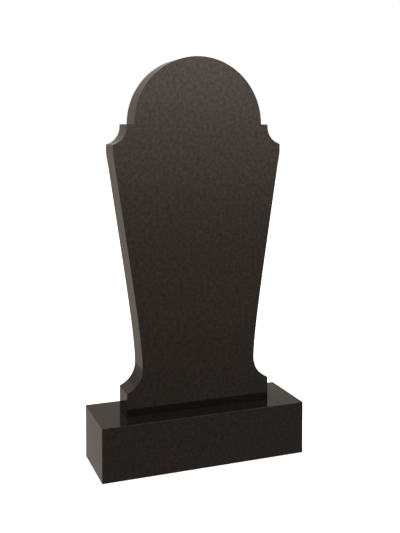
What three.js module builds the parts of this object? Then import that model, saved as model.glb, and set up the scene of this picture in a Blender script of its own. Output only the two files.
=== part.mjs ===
import * as THREE from 'three';

// A headstone in two pieces of polished stone: an upright, vase-shaped stele with a
// round-arched head, and the low rectangular plinth that it stands on.
//
// Millimetres, +Z up. X runs along the plinth and the inscription face looks towards -Y.
// The origin is the middle of the plinth's underside.

// Stele: the overall slab
const STELE_HEIGHT = 1000; // foot to crown
const STELE_THICKNESS = 80;
const BODY_WIDTH = 500; // across the shoulders, the widest place
const WAIST_WIDTH = 338; // the narrowest place, just above the foot

// Stele: the head, a half circle set in from the shoulders by a ledge and a scoop
const SHOULDER_LEDGE = 21; // flat top of each shoulder, beside the arch
const LEDGE_DROP = 7; // short upright edge between the ledge and the scoop
const UPPER_SCOOP_WIDTH = 39;
const UPPER_SCOOP_RADIUS = 50;
const BAND_HEIGHT = 24; // short upright edge below the upper scoop

// Stele: the long side, upright at the waist and leaning out at the band
const SIDE_LEAN = THREE.MathUtils.degToRad(8.5);
const WAIST_EASE = 0.13; // both eases are shares of the long side's own height
const SHOULDER_EASE = 0.53;

// Stele: the foot, wider than the waist by a scoop on each side
const FOOT_HEIGHT = 67;
const LOWER_SCOOP_WIDTH = 45;
const LOWER_SCOOP_RADIUS = 68;

// Plinth: its plan is the stele's foot and the ledges left free around it
const PLINTH_HEIGHT = 150;
const END_LEDGE = 86; // free length at each end of the foot
const FRONT_LEDGE = 60;
const BACK_LEDGE = 60;

// The narrow chamfer that blunts every edge
const ARRIS = 1.5;

// Steps along each curve of the outline, and twice as many along each arc
const CURVE_STEPS = 20;

const steleFinish = new THREE.MeshStandardMaterial({
  color: 0x2e2925,
  roughness: 0.08,
  metalness: 0,
});
const plinthFinish = new THREE.MeshStandardMaterial({
  color: 0x2b2622,
  roughness: 0.08,
  metalness: 0,
});

// Half widths and the plinth's plan, all worked out from the sizes above
const bodyHalf = BODY_WIDTH / 2;
const waistHalf = WAIST_WIDTH / 2;
const footHalf = waistHalf + LOWER_SCOOP_WIDTH;
const ledgeHalf = bodyHalf - UPPER_SCOOP_WIDTH;
const archRadius = ledgeHalf - SHOULDER_LEDGE;
const plinthLength = 2 * (footHalf + END_LEDGE);
const plinthDepth = FRONT_LEDGE + STELE_THICKNESS + BACK_LEDGE;

// A scoop is an arc that ends upright at its inner edge and opens outward below it.
function scoopHeight(radius, width) {
  return Math.sqrt(width * (2 * radius - width));
}

function addScoop(outline, innerEdge, centreHeight, radius, width) {
  const sweep = Math.acos((radius - width) / radius);
  const centre = innerEdge + radius;
  outline.absarc(centre, centreHeight, radius, Math.PI + sweep, Math.PI, true);
}

// The right-hand edge of the stele from the foot up to the crown, in the face's own plane.
function halfOutline() {
  const waistHeight = FOOT_HEIGHT + scoopHeight(LOWER_SCOOP_RADIUS, LOWER_SCOOP_WIDTH);
  const springHeight = STELE_HEIGHT - archRadius;
  const upperScoopCentre = springHeight - LEDGE_DROP;
  const bandTop = upperScoopCentre - scoopHeight(UPPER_SCOOP_RADIUS, UPPER_SCOOP_WIDTH);
  const bandFoot = bandTop - BAND_HEIGHT;
  const sideHeight = bandFoot - waistHeight;
  const shoulderPull = SHOULDER_EASE * sideHeight;

  const outline = new THREE.Path();
  outline.moveTo(footHalf, 0);
  outline.lineTo(footHalf, FOOT_HEIGHT);
  addScoop(outline, waistHalf, waistHeight, LOWER_SCOOP_RADIUS, LOWER_SCOOP_WIDTH);
  outline.bezierCurveTo(
    waistHalf, waistHeight + WAIST_EASE * sideHeight,
    bodyHalf - shoulderPull * Math.tan(SIDE_LEAN), bandFoot - shoulderPull,
    bodyHalf, bandFoot,
  );
  addScoop(outline, ledgeHalf, upperScoopCentre, UPPER_SCOOP_RADIUS, UPPER_SCOOP_WIDTH);
  outline.lineTo(ledgeHalf, springHeight);
  outline.absarc(0, springHeight, archRadius, 0, Math.PI / 2, false);
  return outline.getPoints(CURVE_STEPS);
}

function steleShape() {
  const right = halfOutline();
  const left = right.slice(0, -1).reverse().map((point) => new THREE.Vector2(-point.x, point.y));
  return new THREE.Shape([...right, ...left]);
}

// The plinth's plan, with its four upright edges blunted like all the others.
function plinthShape() {
  const x = plinthLength / 2;
  const y = plinthDepth / 2;
  return new THREE.Shape([
    new THREE.Vector2(x - ARRIS, -y),
    new THREE.Vector2(x, -y + ARRIS),
    new THREE.Vector2(x, y - ARRIS),
    new THREE.Vector2(x - ARRIS, y),
    new THREE.Vector2(-x + ARRIS, y),
    new THREE.Vector2(-x, y - ARRIS),
    new THREE.Vector2(-x, -y + ARRIS),
    new THREE.Vector2(-x + ARRIS, -y),
  ]);
}

// A slab of the given thickness, from z = 0 up, with both faces' edges chamfered inward.
function bluntedSlab(shape, thickness) {
  const geometry = new THREE.ExtrudeGeometry(shape, {
    depth: thickness - 2 * ARRIS,
    bevelThickness: ARRIS,
    bevelSize: ARRIS,
    bevelOffset: -ARRIS,
    bevelSegments: 1,
  });
  geometry.translate(0, 0, ARRIS);
  return geometry;
}

function makeStele() {
  const geometry = bluntedSlab(steleShape(), STELE_THICKNESS);
  geometry.rotateX(Math.PI / 2);
  const stele = new THREE.Mesh(geometry, steleFinish);
  stele.name = 'stele';
  stele.position.set(0, plinthDepth / 2 - BACK_LEDGE, PLINTH_HEIGHT);
  return stele;
}

function makePlinth() {
  const plinth = new THREE.Mesh(bluntedSlab(plinthShape(), PLINTH_HEIGHT), plinthFinish);
  plinth.name = 'plinth';
  return plinth;
}

const headstone = new THREE.Group();
headstone.name = 'headstone';
headstone.add(makePlinth(), makeStele());

export default headstone;
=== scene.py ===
# %% [markdown]
# # A polished stone headstone
#
# The object is a headstone in two pieces: a tall, vase-shaped stele and the low plinth under it.
# Both are cut from the same near-black stone and polished until they mirror what is around
# them. This file loads the measured model of the two pieces, builds each again as a finer
# surface with softly blunted edges, and gives them a stone that has its own grain.

import math

import bpy
import numpy as np
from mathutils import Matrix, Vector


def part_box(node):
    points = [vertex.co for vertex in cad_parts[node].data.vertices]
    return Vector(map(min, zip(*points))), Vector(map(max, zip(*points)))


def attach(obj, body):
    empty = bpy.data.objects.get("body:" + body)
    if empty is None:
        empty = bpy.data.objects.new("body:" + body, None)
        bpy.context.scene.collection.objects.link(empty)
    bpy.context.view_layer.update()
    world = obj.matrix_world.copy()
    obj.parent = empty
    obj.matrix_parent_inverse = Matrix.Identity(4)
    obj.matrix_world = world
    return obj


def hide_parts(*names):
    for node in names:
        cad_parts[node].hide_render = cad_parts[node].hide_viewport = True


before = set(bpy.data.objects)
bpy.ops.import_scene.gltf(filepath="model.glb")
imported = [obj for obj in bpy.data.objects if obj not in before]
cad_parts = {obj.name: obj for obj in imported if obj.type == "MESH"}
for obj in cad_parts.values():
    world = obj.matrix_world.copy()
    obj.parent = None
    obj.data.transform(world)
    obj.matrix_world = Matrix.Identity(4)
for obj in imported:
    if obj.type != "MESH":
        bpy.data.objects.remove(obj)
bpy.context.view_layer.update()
stele_low, stele_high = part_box("stele")
plinth_low, plinth_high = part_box("plinth")
print("stele", [round(v, 4) for v in stele_high - stele_low], "m")
print("plinth", [round(v, 4) for v in plinth_high - plinth_low], "m")

# %% [markdown]
# ## Where the camera stands
#
# The camera is placed first, so that every later step can be looked at from where the
# picture was taken. It stands to the left of the headstone, at the height of the shoulders,
# and dips only three degrees, because a level view keeps upright edges parallel in the
# picture. A small vertical shift slides the view down to the plinth without tipping the
# camera further. It is kept small, so that the whole stone stays in view when the camera is
# moved round it.

# %% The camera
CAMERA_PLACE = (-0.7875, -2.123, 0.9389)
CAMERA_TURN = math.radians(20.732)
CAMERA_DIP = math.radians(3.0)
CAMERA_LENS_MM = 53.49
CAMERA_SENSOR_MM = 36.0
CAMERA_SHIFT = -0.175
CAMERA_NEAR = 0.05
CAMERA_FAR = 100.0


def make_camera():
    """Stands the camera up (a quarter turn about X), dips it a little and turns it to the right."""
    lens = bpy.data.cameras.new("camera")
    lens.sensor_width = CAMERA_SENSOR_MM
    lens.lens = CAMERA_LENS_MM
    lens.shift_y = CAMERA_SHIFT
    lens.clip_start = CAMERA_NEAR
    lens.clip_end = CAMERA_FAR
    camera = bpy.data.objects.new("camera", lens)
    camera.location = CAMERA_PLACE
    camera.rotation_euler = (math.pi / 2 - CAMERA_DIP, 0.0, -CAMERA_TURN)
    bpy.context.scene.collection.objects.link(camera)
    bpy.context.scene.camera = camera


make_camera()
print("camera", round(math.degrees(CAMERA_TURN), 1), "degrees to the left of square on")

# %% [markdown]
# ## A slab is a section carried round an outline
#
# Both pieces are slabs: a flat outline with a thickness. A mason saws the outline, grinds the
# edges so that they don't chip, and polishes everything. The same idea makes the mesh. One
# parameter goes round the outline, the other goes across the edge, from the front face over the
# blunted corner, across the side and over the second corner to the back face. A modifier
# could bevel a plain slab too, but carrying the section round the outline keeps the flat faces
# exactly flat, which matters on a stone that works as a mirror.

# %% Outline helpers
SAMPLE_STEP = 0.0002  # spacing of the dense outline, before points are thinned out


def along(points):
    """Distance travelled along a chain of points: the running sum of the step lengths."""
    steps = np.hypot(*np.diff(points, axis=0).T)
    return np.concatenate([[0.0], np.cumsum(steps)])


def evenly_spaced(points):
    """The closed outline through these corner points, as evenly spaced points."""
    ring = np.vstack([points, points[:1]])
    travelled = along(ring)
    count = int(round(travelled[-1] / SAMPLE_STEP))
    places = np.arange(count) * travelled[-1] / count
    return np.column_stack([np.interp(places, travelled, ring[:, k]) for k in (0, 1)])


def eased(points, reach):
    """Each point becomes the mean of its neighbours within reach, so sharp corners turn round.

    On a straight run the mean changes nothing, and on a wide arc it changes next to nothing.
    """
    half = max(int(round(reach / SAMPLE_STEP)), 1)
    window = 2 * half + 1
    wrapped = np.vstack([points[-half:], points, points[:half]])
    total = np.cumsum(np.vstack([np.zeros(2), wrapped]), axis=0)
    return (total[window:] - total[:-window]) / window


def inward_normals(points):
    """The direction into the stone: the direction of travel, turned a quarter to the left."""
    travel = np.roll(points, -1, axis=0) - np.roll(points, 1, axis=0)
    travel /= np.hypot(*travel.T)[:, None]
    return np.column_stack([-travel[:, 1], travel[:, 0]])


print("outline helpers ready, dense spacing", SAMPLE_STEP * 1000, "mm")

# %% [markdown]
# ## Spend points where the outline turns
#
# A straight run needs two points and a tight corner needs many. The thinning rule adds up two
# things along the way: the distance, in units of the longest allowed step, and the turning,
# in units of the largest allowed angle. Points are then taken at equal steps of that sum.

# %% Thin the outline by distance and turning
LONGEST_STEP = 0.015
LARGEST_TURN = math.radians(2.5)


def thinned(points, *others):
    """Takes points at equal steps of (distance / longest step + turning / largest turn).

    The outlines in others have as many points and are read at the same places.
    """
    travel = np.roll(points, -1, axis=0) - points
    heading = np.arctan2(travel[:, 1], travel[:, 0])
    turning = np.abs((np.roll(heading, -1) - heading + math.pi) % (2 * math.pi) - math.pi)
    cost = np.hypot(*travel.T) / LONGEST_STEP + np.roll(turning, 1) / LARGEST_TURN
    spent = np.concatenate([[0.0], np.cumsum(cost)])
    count = int(math.ceil(spent[-1]))
    places = np.interp(np.arange(count) * spent[-1] / count, spent, np.arange(len(spent)))
    index = np.arange(len(points) + 1)

    def read(values):
        ring = np.concatenate([values, values[:1]])
        return np.column_stack([np.interp(places, index, column) for column in ring.T])

    return [read(values) for values in (points, *others)]


print("steps up to", LONGEST_STEP * 1000, "mm, turns up to", round(math.degrees(LARGEST_TURN), 1))

# %% [markdown]
# ## The blunted edge
#
# A polished stone has no truly sharp edge. The mason rounds each one by a millimetre or so,
# and that thin line catches the light. The section starts on the front face, just inside the
# edge, follows a quarter circle over it, crosses the side and does the same at the back. The
# first and last points lie on the flat faces themselves, so the shading of the faces can't
# bend towards the edge.

# %% The section over one edge
EDGE_STEPS = 6
FACE_MARGIN = 1.4  # the flat rim beside the edge ends this many edge radii in
SIDE_MARGIN = 3.0  # and on the side this many edge radii in


def half_section():
    """(inset, depth) over one edge, in edge radii: rim, quarter circle, a point on the side."""
    angle = np.linspace(0.0, math.pi / 2, EDGE_STEPS + 1)
    inset = np.concatenate([[FACE_MARGIN], 1.0 - np.sin(angle), [0.0]])
    depth = np.concatenate([[0.0], 1.0 - np.cos(angle), [SIDE_MARGIN]])
    return inset, depth


print("section over one edge:", len(half_section()[0]), "points")


# %% Carry the section round the outline
def slab_grid(outline, normals, edge_radius, thickness):
    """Grid of points: rows go round the outline, columns go from the first face to the last.

    A point is the outline's own, moved inward by inset times the edge radius, at a depth below
    the first face. The far half of the section is the near half, seen from the last face.
    """
    inset, depth = half_section()
    radius = np.broadcast_to(edge_radius, (len(outline), 1))
    insets = radius * np.concatenate([inset, inset[::-1]])[None, :]
    near = radius * depth[None, :]
    depths = np.hstack([near, thickness - near[:, ::-1]])
    across = outline[:, 0:1] + insets * normals[:, 0:1]
    up = outline[:, 1:2] + insets * normals[:, 1:2]
    return across, up, depths


def slab_mesh(name, x, y, z):
    """Closes the grid round the outline with four-sided faces, and each end with one flat face."""
    rows, columns = x.shape
    index = np.arange(rows * columns).reshape(rows, columns)
    turned = np.roll(index, -1, axis=0)
    quads = np.stack([index[:, :-1], index[:, 1:], turned[:, 1:], turned[:, :-1]], axis=-1)
    first_face = index[:, 0]
    last_face = index[::-1, -1]
    faces = quads.reshape(-1, 4).tolist() + [first_face.tolist(), last_face.tolist()]
    mesh = bpy.data.meshes.new(name)
    mesh.from_pydata(np.stack([x, y, z], axis=-1).reshape(-1, 3).tolist(), [], faces)
    mesh.shade_smooth()
    mesh.validate()
    piece = bpy.data.objects.new(name, mesh)
    bpy.context.scene.collection.objects.link(piece)
    print(name, rows, "points round the outline,", len(faces), "faces")
    return piece


# %% [markdown]
# ## The stele's outline
#
# From the foot up, the right-hand edge is a short upright, a scoop cut in to the waist, a long
# side that leaves the waist upright and leans out to the shoulder, a short band, a second
# scoop, a flat ledge and then a quarter of a circle up to the crown. The left-hand edge is its
# mirror image. Scoops are arcs and the long side is a curve with two handles, so a few named
# sizes hold the whole shape. The overall height, width and thickness come from the model.

# %% Sizes of the stele's outline, in metres
WAIST_WIDTH = 0.338
FOOT_HEIGHT = 0.067
LOWER_SCOOP_WIDTH = 0.045
LOWER_SCOOP_RADIUS = 0.068
UPPER_SCOOP_WIDTH = 0.039
UPPER_SCOOP_RADIUS = 0.050
SHOULDER_LEDGE = 0.021
LEDGE_DROP = 0.007
BAND_HEIGHT = 0.024
SIDE_LEAN = math.radians(8.5)
WAIST_EASE = 0.13
SHOULDER_EASE = 0.53

stele_thickness = stele_high.y - stele_low.y
stele_height = stele_high.z - stele_low.z
body_half = (stele_high.x - stele_low.x) / 2
waist_half = WAIST_WIDTH / 2
foot_half = waist_half + LOWER_SCOOP_WIDTH
ledge_half = body_half - UPPER_SCOOP_WIDTH
arch_radius = ledge_half - SHOULDER_LEDGE
print("arch radius", round(arch_radius * 1000, 1), "mm, foot", round(foot_half * 2000, 1), "mm")

# %% Curves that the outline is made of
ARC_POINTS = 200
CURVE_POINTS = 400


def arc(centre, radius, start, end):
    """Centre plus radius times (cosine, sine) of evenly spaced angles from start to end."""
    angle = np.linspace(start, end, ARC_POINTS)
    return np.column_stack([centre[0] + radius * np.cos(angle), centre[1] + radius * np.sin(angle)])


def scoop(inner_edge, centre_height, radius, width):
    """An arc outside the stone that starts width further out and ends upright at the inner edge."""
    sweep = math.acos((radius - width) / radius)
    return arc((inner_edge + radius, centre_height), radius, math.pi + sweep, math.pi)


def scoop_height(radius, width):
    """Height of a scoop: the leg of the right triangle of the radius and (radius - width)."""
    return math.sqrt(width * (2 * radius - width))


def handled_curve(start, first_handle, second_handle, end):
    """A cubic curve: the four points mixed by (1-t)^3, 3t(1-t)^2, 3t^2(1-t) and t^3."""
    t = np.linspace(0.0, 1.0, CURVE_POINTS)[:, None]
    shares = ((1 - t) ** 3, 3 * t * (1 - t) ** 2, 3 * t**2 * (1 - t), t**3)
    handles = (start, first_handle, second_handle, end)
    return sum(share * np.array(point) for share, point in zip(shares, handles))


lower_scoop = scoop_height(LOWER_SCOOP_RADIUS, LOWER_SCOOP_WIDTH)
print("the lower scoop is", round(lower_scoop * 1000, 1), "mm high")


# %% The whole outline
def stele_corners():
    """Half outline from the foot to the crown, then its mirror image back down to the foot."""
    waist_height = FOOT_HEIGHT + lower_scoop
    spring_height = stele_height - arch_radius
    upper_centre = spring_height - LEDGE_DROP
    band_top = upper_centre - scoop_height(UPPER_SCOOP_RADIUS, UPPER_SCOOP_WIDTH)
    band_foot = band_top - BAND_HEIGHT
    side_height = band_foot - waist_height
    pull = SHOULDER_EASE * side_height
    side = handled_curve(
        (waist_half, waist_height),
        (waist_half, waist_height + WAIST_EASE * side_height),
        (body_half - pull * math.tan(SIDE_LEAN), band_foot - pull),
        (body_half, band_foot),
    )
    right = np.vstack([
        [(foot_half, 0.0)],
        scoop(waist_half, waist_height, LOWER_SCOOP_RADIUS, LOWER_SCOOP_WIDTH),
        side,
        scoop(ledge_half, upper_centre, UPPER_SCOOP_RADIUS, UPPER_SCOOP_WIDTH),
        [(ledge_half, spring_height)],
        arc((0.0, spring_height), arch_radius, 0.0, math.pi / 2),
    ])
    left = right[-2::-1] * (-1.0, 1.0)
    return np.vstack([right, left])


print("stele outline:", len(stele_corners()), "points before they are spaced evenly")

# %% [markdown]
# ## The stele
#
# The corners where the scoops meet the band and the ledge are eased by the polishing wheel, so
# they get a wider rounding than the edges. The foot's lower edge is different: it is sawn
# square and stays nearly sharp, so that it closes tightly on the plinth. A smooth step in
# height mixes the two.

# %% Build the stele
CORNER_REACH = 0.003
EDGE_RADIUS = 0.0008
JOINT_REACH = 0.0006
JOINT_EDGE_RADIUS = 0.0002
JOINT_ZONE = (0.002, 0.008)  # heights between which the sharp foot becomes the blunted edge


def smooth_step(values, low, high):
    """0 below low, 1 above high, and 3t^2 - 2t^3 between them."""
    t = np.clip((values - low) / (high - low), 0.0, 1.0)
    return t * t * (3 - 2 * t)


def make_stele():
    """The stele's outline stands in the X and Z directions, and its depth runs along Y."""
    dense = evenly_spaced(stele_corners())
    upper_share = smooth_step(dense[:, 1:2], *JOINT_ZONE)
    nearly_sharp = eased(dense, JOINT_REACH)
    blunted = eased(dense, CORNER_REACH)
    outline = (1 - upper_share) * nearly_sharp + upper_share * blunted
    outline, normals, upper_share = thinned(outline, inward_normals(outline), upper_share)
    normals /= np.hypot(*normals.T)[:, None]
    radius = JOINT_EDGE_RADIUS + (EDGE_RADIUS - JOINT_EDGE_RADIUS) * upper_share
    x, z, depth = slab_grid(outline, normals, radius, stele_thickness)
    middle = (stele_low.x + stele_high.x) / 2
    return slab_mesh("polished_stele", middle + x, stele_low.y + depth, stele_low.z + z)


stele = make_stele()

# %% [markdown]
# ## The plinth
#
# The plinth is the same kind of slab lying down: its outline is a rectangle seen from above,
# and its depth runs down from the top face. All its edges are blunted, the upright ones too.

# %% Build the plinth
def make_plinth():
    """The plinth's outline lies in the X and Y directions, and its depth runs down from the top."""
    corners = np.array([
        (plinth_high.x, plinth_low.y),
        (plinth_high.x, plinth_high.y),
        (plinth_low.x, plinth_high.y),
        (plinth_low.x, plinth_low.y),
    ])
    outline = eased(evenly_spaced(corners), CORNER_REACH)
    outline, normals = thinned(outline, inward_normals(outline))
    normals /= np.hypot(*normals.T)[:, None]
    height = plinth_high.z - plinth_low.z
    x, y, depth = slab_grid(outline, normals, EDGE_RADIUS, height)
    return slab_mesh("polished_plinth", x, y, plinth_high.z - depth)


plinth = make_plinth()

# %% [markdown]
# ## Small helpers for shader nodes
#
# A shader is a graph: each node takes values in, works something out and passes it on. The
# helpers below add one kind of node each and return its output, so that the stone and the
# studio light can be written down as a chain of plain steps.

# %% Helpers that add and connect nodes
MIX_SOCKETS = {"RGBA": (6, 7, 2), "FLOAT": (2, 3, 0)}  # first value, second value, result


def node(tree, kind, place, **settings):
    """Adds one shader node and sets its plain properties."""
    made = tree.nodes.new(kind)
    made.location = place
    for name, value in settings.items():
        setattr(made, name, value)
    return made


def feed(tree, socket, value):
    """Links another node's output to the socket, or sets the socket to a plain value."""
    if isinstance(value, bpy.types.NodeSocket):
        tree.links.new(value, socket)
    else:
        socket.default_value = value


def maths(tree, place, operation, *values):
    """A Math node over the given values, such as the first less the second."""
    made = node(tree, "ShaderNodeMath", place, operation=operation)
    for socket, value in zip(made.inputs, values):
        feed(tree, socket, value)
    return made.outputs["Value"]


def scaled(tree, place, vector, share):
    """The vector or colour times the share."""
    made = node(tree, "ShaderNodeVectorMath", place, operation="SCALE")
    feed(tree, made.inputs[0], vector)
    feed(tree, made.inputs["Scale"], share)
    return made.outputs["Vector"]


def remapped(tree, place, value, source, target, **settings):
    """Maps the source range (low, high) onto the target range, and holds its ends beyond it."""
    made = node(tree, "ShaderNodeMapRange", place, **settings)
    for name, limit in zip(("From Min", "From Max", "To Min", "To Max"), (*source, *target)):
        made.inputs[name].default_value = limit
    feed(tree, made.inputs["Value"], value)
    return made.outputs["Result"]


def mixed(tree, place, share, first, second, kind="RGBA", blend="MIX"):
    """(1 - share) times the first plus share times the second; MULTIPLY takes their product."""
    made = node(tree, "ShaderNodeMix", place, data_type=kind, blend_type=blend)
    first_socket, second_socket, result = MIX_SOCKETS[kind]
    feed(tree, made.inputs[0], share)
    feed(tree, made.inputs[first_socket], first)
    feed(tree, made.inputs[second_socket], second)
    return made.outputs[result]


def ramp(tree, place, value, stops):
    """The colour at this value, read from a line through the (position, colour) stops."""
    made = node(tree, "ShaderNodeValToRGB", place)
    band = made.color_ramp
    while len(band.elements) < len(stops):
        band.elements.new(1.0)
    for element, (position, colour) in zip(band.elements, stops):
        element.position = position
        element.color = colour
    feed(tree, made.inputs["Fac"], value)
    return made.outputs["Color"]


def soft_noise(tree, place, where, size, detail):
    """Smooth noise with blots of about the given size in metres."""
    made = node(tree, "ShaderNodeTexNoise", place)
    made.inputs["Scale"].default_value = 1.0 / size
    made.inputs["Detail"].default_value = detail
    feed(tree, made.inputs["Vector"], where)
    return made.outputs["Fac"]


def around(mean, spread):
    """The range from the mean less the spread to the mean plus the spread."""
    return mean - spread, mean + spread


print("node helpers ready, mixing", " and ".join(MIX_SOCKETS), "values")

# %% [markdown]
# ## The stone
#
# The stone is a fine-grained, near-black one with a faint warm cast. It is a crowd of crystals
# one to three millimetres across, most of them almost black, some brown and a few paler.
# Cell noise gives each crystal a shade of its own, and a softer noise gathers them in
# slightly lighter and darker patches.

# %% The colour of crystals and patches
CRYSTAL_SIZE = 0.0020  # sizes and heights are in metres
DARK_CRYSTAL = (0.0044, 0.0037, 0.0032, 1.0)
BROWN_CRYSTAL = (0.0056, 0.0047, 0.0041, 1.0)
PALE_CRYSTAL = (0.0084, 0.0072, 0.0063, 1.0)
DARK_UP_TO = 0.45  # a crystal that draws less than this is dark, the next ones turn brown
BROWN_FROM = 0.80
BROWN_UP_TO = 0.95  # and the last few turn pale
PATCH_SIZE = 0.010
PATCH_DETAIL = 4.0
NOISE_RANGE = (0.3, 0.7)  # soft noise seldom leaves this range
PATCH_MEAN = 1.1
PATCH_SPREAD = 0.15  # how far a patch strays from the mean strength


def crystal_draws(tree, where):
    """Cell noise: each crystal is one cell and draws a red, a green and a blue number."""
    cells = node(tree, "ShaderNodeTexVoronoi", (-1200, 200), feature="F1")
    cells.inputs["Scale"].default_value = 1.0 / CRYSTAL_SIZE
    feed(tree, cells.inputs["Vector"], where)
    draws = node(tree, "ShaderNodeSeparateColor", (-1000, 200))
    feed(tree, draws.inputs["Color"], cells.outputs["Color"])
    return draws.outputs


def stone_colour(tree, draws, patches):
    """The crystal's shade by its red draw, times the strength of the patch that it lies in."""
    shade = ramp(tree, (-800, 300), draws["Red"], [
        (0.0, DARK_CRYSTAL),
        (DARK_UP_TO, DARK_CRYSTAL),
        (BROWN_FROM, BROWN_CRYSTAL),
        (BROWN_UP_TO, BROWN_CRYSTAL),
        (1.0, PALE_CRYSTAL),
    ])
    strength = remapped(
        tree, (-1000, -100), patches, NOISE_RANGE, around(PATCH_MEAN, PATCH_SPREAD)
    )
    return scaled(tree, (-550, 200), shade, strength)


print("crystals of", CRYSTAL_SIZE * 1000, "mm, patches of", PATCH_SIZE * 1000, "mm")

# %% [markdown]
# ## The polish
#
# The same patches mirror a little more or a little less, and on a black stone that mottles the
# polish more than the shades do. Polishing takes soft crystals down a trifle more than hard
# ones, so each crystal has a roughness of its own and the face has a ripple far too shallow to
# bend an edge. The underside of the plinth is left as it was sawn: matt, paler and ribbed by
# the saw. Both kinds of relief are bumps in the shader, since neither is deep enough to see
# from the side.

# %% Polish above, saw marks below
STONE_INDEX = 1.5
POLISH_TINT = (1.0, 0.945, 0.915, 1.0)
POLISH_SMOOTH = 0.035
POLISH_DULL = 0.075
GLINT_MEAN = 0.5  # the shader's usual reflectance
GLINT_SPREAD = 0.12  # how far a patch strays from it
RIPPLE_SIZE = 0.006
RIPPLE_DETAIL = 2.0
RIPPLE_HEIGHT = 0.00001
SAWN_STONE = (0.11, 0.105, 0.10, 1.0)
SAWN_ROUGHNESS = 0.75
SAWN_HEIGHT = EDGE_RADIUS / 10  # only the flat underside lies as low as this
SAW_RIB = 0.0035  # from one rib to the next
SAW_WANDER = 1.5
SAW_DETAIL = 3.0
SAW_MARK_SHARE = 0.5  # how strongly the ribs turn the light
SAW_MARK_HEIGHT = 0.0004


def underside(tree, where):
    """1 where the height is below the plinth's foot plus SAWN_HEIGHT, and 0 elsewhere."""
    split = node(tree, "ShaderNodeSeparateXYZ", (-1200, -400))
    feed(tree, split.inputs["Vector"], where)
    limit = plinth_low.z + SAWN_HEIGHT
    return maths(tree, (-1000, -400), "LESS_THAN", split.outputs["Z"], limit)


def saw_marks(tree, where, sawn):
    """Wavering bands across X on the sawn side; bands lie pi / (10 times their scale) apart."""
    ribs = node(tree, "ShaderNodeTexWave", (-1000, -600), wave_type="BANDS", bands_direction="X")
    ribs.inputs["Scale"].default_value = math.pi / (10 * SAW_RIB)
    ribs.inputs["Distortion"].default_value = SAW_WANDER
    ribs.inputs["Detail"].default_value = SAW_DETAIL
    feed(tree, ribs.inputs["Vector"], where)
    bump = node(tree, "ShaderNodeBump", (-300, -400))
    bump.inputs["Strength"].default_value = SAW_MARK_SHARE
    bump.inputs["Distance"].default_value = SAW_MARK_HEIGHT
    height = maths(tree, (-750, -600), "MULTIPLY", ribs.outputs["Fac"], sawn)
    feed(tree, bump.inputs["Height"], height)
    return bump.outputs["Normal"]


def ripples(tree, where, normal):
    """Soft noise as a bump on top of the given normal."""
    bump = node(tree, "ShaderNodeBump", (-100, -300))
    bump.inputs["Distance"].default_value = RIPPLE_HEIGHT
    height = soft_noise(tree, (-750, -300), where, RIPPLE_SIZE, RIPPLE_DETAIL)
    feed(tree, bump.inputs["Height"], height)
    feed(tree, bump.inputs["Normal"], normal)
    return bump.outputs["Normal"]


print("roughness from", POLISH_SMOOTH, "to", POLISH_DULL, "and below the plinth", SAWN_ROUGHNESS)


# %% Put the stone together
def polished_stone():
    """The polish and its colour above, the sawn finish and its colour on the underside."""
    material = bpy.data.materials.new("polished_granite")
    material.use_nodes = True
    tree = material.node_tree
    shader = tree.nodes["Principled BSDF"]
    shader.inputs["IOR"].default_value = STONE_INDEX
    shader.inputs["Metallic"].default_value = 0.0
    shader.inputs["Specular Tint"].default_value = POLISH_TINT

    where = node(tree, "ShaderNodeTexCoord", (-1500, 0)).outputs["Object"]
    draws = crystal_draws(tree, where)
    patches = soft_noise(tree, (-1200, -100), where, PATCH_SIZE, PATCH_DETAIL)
    sawn = underside(tree, where)

    colour = stone_colour(tree, draws, patches)
    dullness = remapped(
        tree, (-800, 0), draws["Green"], (0.0, 1.0), (POLISH_SMOOTH, POLISH_DULL)
    )
    finish = {
        "Base Color": mixed(tree, (-300, 200), sawn, colour, SAWN_STONE),
        "Roughness": mixed(tree, (-300, 0), sawn, dullness, SAWN_ROUGHNESS, kind="FLOAT"),
        "Specular IOR Level": remapped(
            tree, (-1000, -250), patches, NOISE_RANGE, around(GLINT_MEAN, GLINT_SPREAD)
        ),
        "Normal": ripples(tree, where, saw_marks(tree, where, sawn)),
    }
    for name, value in finish.items():
        feed(tree, shader.inputs[name], value)
    return material


stone = polished_stone()
for piece in (stele, plinth):
    piece.data.materials.append(stone)
print("one stone on both pieces, made of", len(stone.node_tree.nodes), "nodes")

# %% [markdown]
# ## What the polish mirrors
#
# A black mirror shows the room more than itself, so the studio is half of the finish. In
# front of the stone the light is strong at eye level and above, and fades towards the ground,
# and that is why the stele is lighter at its head than at its foot. Low down and overhead the
# light rises again, in front and behind, so that the stone keeps its form when it is looked
# down on. Each table below holds the brightness by height, with the horizon at 0.

# %% The light in front and behind
FRONT_LIGHT = (
    (-1.00, 0.42),
    (-0.62, 0.64),
    (-0.44, 0.34),
    (-0.33, 0.34),
    (-0.20, 0.51),
    (-0.14, 0.61),
    (-0.09, 0.79),
    (0.00, 1.29),
    (0.08, 2.00),
    (0.12, 2.35),
    (0.20, 2.35),
    (0.33, 0.36),
    (1.00, 1.10),
)
REAR_LIGHT = (
    (-1.00, 0.55),
    (-0.62, 0.98),
    (-0.44, 0.68),
    (-0.30, 0.62),
    (-0.15, 0.82),
    (-0.02, 1.20),
    (0.08, 1.25),
    (0.18, 0.53),
    (0.24, 0.45),
    (0.29, 0.46),
    (0.31, 0.385),
    (0.33, 0.365),
    (0.38, 0.40),
    (0.60, 0.90),
    (1.00, 1.40),
)
REAR_BLEND = 0.3  # front and rear light mix while the forward direction is within this of 0
LIGHT_TINT = (1.0, 0.865, 0.755, 1.0)
RAMP_TOP = 2.5  # a ramp holds 0 to 1, so brightness is stored as a share of this


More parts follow.
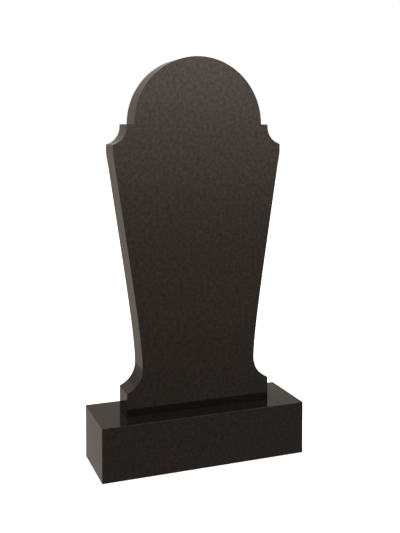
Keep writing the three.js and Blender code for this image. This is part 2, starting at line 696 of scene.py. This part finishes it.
def light_ramp(tree, place, height, table):
    """Brightness by height: the table's sine of elevation becomes (sine + 1) / 2 on the ramp."""
    return ramp(tree, place, height, [
        ((sine + 1) / 2, (level / RAMP_TOP, level / RAMP_TOP, level / RAMP_TOP, 1.0))
        for sine, level in table
    ])


brightest = max(level for sine, level in FRONT_LIGHT)
print("light in front from", FRONT_LIGHT[0][1], "at the ground to", brightest, "above eye level")

# %% [markdown]
# ## A panel and a cloth
#
# Behind the stone, to the left, stands one even panel, which the camera sees mirrored at a
# slant in the ends and sides. A dark cloth over the panel's far half keeps the hollow of the
# foot's scoop dim.

# %% The panel and the cloth
PANEL_LIGHT = (
    (-1.00, 0.55),
    (-0.62, 0.98),
    (-0.45, 0.44),
    (-0.36, 0.42),
    (-0.28, 0.445),
    (-0.10, 0.455),
    (0.05, 0.43),
    (0.25, 0.43),
    (0.32, 0.385),
    (0.38, 0.39),
    (0.60, 0.90),
    (1.00, 1.40),
)
PANEL_MIDDLE = -0.30  # how far left of straight back the panel stands, as a sine
PANEL_HALF_WIDTH = 0.15
PANEL_BLEND = 0.05
CLOTH_SHARE = 0.65  # a dark cloth dims the panel's far half to this share
CLOTH_BLEND = 0.03


def rear_light(tree, height, sideways):
    """The panel within its half width of its middle, the rear table beyond it, a blend between.

    The cloth's share holds to the left of the panel's middle and rises to 1 to the right of it.
    """
    panel = light_ramp(tree, (-550, -400), height, PANEL_LIGHT)
    cloth = remapped(
        tree, (-550, -700), sideways, (PANEL_MIDDLE, PANEL_MIDDLE + CLOTH_BLEND), (CLOTH_SHARE, 1.0)
    )
    covered = scaled(tree, (-250, -400), panel, cloth)
    aside = maths(tree, (-1000, -900), "SUBTRACT", sideways, PANEL_MIDDLE)
    away = maths(tree, (-800, -900), "ABSOLUTE", aside)
    beside = remapped(
        tree, (-550, -950), away, (PANEL_HALF_WIDTH, PANEL_HALF_WIDTH + PANEL_BLEND), (0.0, 1.0),
        interpolation_type="SMOOTHSTEP",
    )
    beyond = light_ramp(tree, (-550, -100), height, REAR_LIGHT)
    return mixed(tree, (-50, -250), beside, covered, beyond)


panel_edges = [round(v, 2) for v in around(PANEL_MIDDLE, PANEL_HALF_WIDTH)]
print("panel between", panel_edges, "as sines, with minus to the left of straight back")

# %% [markdown]
# ## Light that is mirrored twice
#
# Beside the foot, light bounces off the foot's side and the plinth's top, in two planes nearly
# at right angles. The first bounce polarises it, and the second returns that kind of light
# least, so about 0.6 of what two plain mirrors would leave comes back. The renderer takes no
# account of that. In front of the stele the planes cross at about 50 degrees, and hardly
# anything is lost. The world can't tell the two places apart, so it is dimmed by one share for
# all light on its second bounce: the share that makes the foot, as the plinth's top mirrors
# it, as dark as in the photograph. The background is plain white to the camera.

# %% Build the studio
BOUNCED_ONCE = 2.0  # what Ray Depth counts for light that has bounced once
TWICE_MIRRORED = 0.55  # what is left of the light after a second bounce
BACKDROP = (1.0, 1.0, 1.0, 1.0)


def make_world():
    """White to the camera; to everything else, front and rear light mixed by direction.

    The strength is full up to the first bounce and falls to a fixed share at the second.
    """
    world = bpy.data.worlds.new("studio")
    world.use_nodes = True
    bpy.context.scene.world = world
    tree = world.node_tree
    tree.nodes.clear()
    ray = node(tree, "ShaderNodeTexCoord", (-1200, 0))
    split = node(tree, "ShaderNodeSeparateXYZ", (-1000, 0))
    feed(tree, split.inputs["Vector"], ray.outputs["Generated"])
    height = remapped(tree, (-800, 100), split.outputs["Z"], (-1.0, 1.0), (0.0, 1.0))
    back = remapped(
        tree, (-800, -200), split.outputs["Y"], (-REAR_BLEND, REAR_BLEND), (0.0, 1.0),
        interpolation_type="SMOOTHSTEP",
    )
    front = light_ramp(tree, (-550, 200), height, FRONT_LIGHT)
    rear = rear_light(tree, height, split.outputs["X"])
    both = mixed(tree, (150, 100), back, front, rear)
    path = node(tree, "ShaderNodeLightPath", (150, 400))

    studio = node(tree, "ShaderNodeBackground", (550, 100))
    tinted = mixed(tree, (350, 100), 1.0, both, LIGHT_TINT, blend="MULTIPLY")
    feed(tree, studio.inputs["Color"], tinted)
    strength = remapped(
        tree, (350, 300), path.outputs["Ray Depth"], (BOUNCED_ONCE, BOUNCED_ONCE + 1),
        (RAMP_TOP, RAMP_TOP * TWICE_MIRRORED),
    )
    feed(tree, studio.inputs["Strength"], strength)

    backdrop = node(tree, "ShaderNodeBackground", (550, -100))
    backdrop.inputs["Color"].default_value = BACKDROP
    choose = node(tree, "ShaderNodeMixShader", (800, 100))
    feed(tree, choose.inputs[0], path.outputs["Is Camera Ray"])
    feed(tree, choose.inputs[1], studio.outputs[0])
    feed(tree, choose.inputs[2], backdrop.outputs[0])
    out = node(tree, "ShaderNodeOutputWorld", (1000, 100))
    feed(tree, out.inputs["Surface"], choose.outputs[0])
    print("studio built from", len(tree.nodes), "nodes")


make_world()

# %% [markdown]
# ## The floor and the light above it
#
# The floor is a wide pale sheet that runs on past the picture. One large soft lamp above
# lights it, and a faint glow of its own lifts it to white, so the shadow at the foot of the
# stone is slight and has no edge. The stone takes no light from the floor, and its polish
# shows neither the floor nor the lamp, so the mirrored light stays as smooth as the studio's.

# %% Floor and lamp
FLOOR_SIZE = 40.0
FLOOR_COLOUR = (0.65, 0.65, 0.65, 1.0)
FLOOR_GLOW = 0.4
LAMP_STRENGTH = 4.4
LAMP_SPREAD = math.radians(50.0)
LAMP_TILT = math.radians(8.0)


def make_floor():
    """One square sheet, level with the plinth's underside."""
    half = FLOOR_SIZE / 2
    level = plinth_low.z
    mesh = bpy.data.meshes.new("floor")
    corners = [
        (-half, -half, level),
        (half, -half, level),
        (half, half, level),
        (-half, half, level),
    ]
    mesh.from_pydata(corners, [], [(0, 1, 2, 3)])
    floor = bpy.data.objects.new("floor", mesh)
    bpy.context.scene.collection.objects.link(floor)
    material = bpy.data.materials.new("floor")
    material.use_nodes = True
    shader = material.node_tree.nodes["Principled BSDF"]
    shader.inputs["Base Color"].default_value = FLOOR_COLOUR
    shader.inputs["Roughness"].default_value = 1.0
    shader.inputs["Specular IOR Level"].default_value = 0.0
    shader.inputs["Emission Color"].default_value = FLOOR_COLOUR
    shader.inputs["Emission Strength"].default_value = FLOOR_GLOW
    mesh.materials.append(material)
    floor.visible_glossy = False
    floor.visible_diffuse = False
    return floor


def make_lamp():
    """A far lamp, wide and soft, above and a little in front."""
    light = bpy.data.lights.new("lamp", "SUN")
    light.energy = LAMP_STRENGTH
    light.angle = LAMP_SPREAD
    lamp = bpy.data.objects.new("lamp", light)
    lamp.rotation_euler = (LAMP_TILT, 0.0, 0.0)
    lamp.visible_glossy = False
    bpy.context.scene.collection.objects.link(lamp)


floor = make_floor()
make_lamp()
bpy.context.scene.view_settings.view_transform = "Standard"
print("floor", FLOOR_SIZE, "m square, lamp strength", LAMP_STRENGTH)

# %% [markdown]
# ## Tie the pieces to the model
#
# Each piece stands for one node of the measured model, which it hides, keeps the stone finish
# given above and rides on the only body that the object has, since nothing in it moves.

# %% Ride and replace
for piece, cad_node in ((stele, "stele"), (plinth, "plinth")):
    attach(piece, "root")
    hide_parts(cad_node)
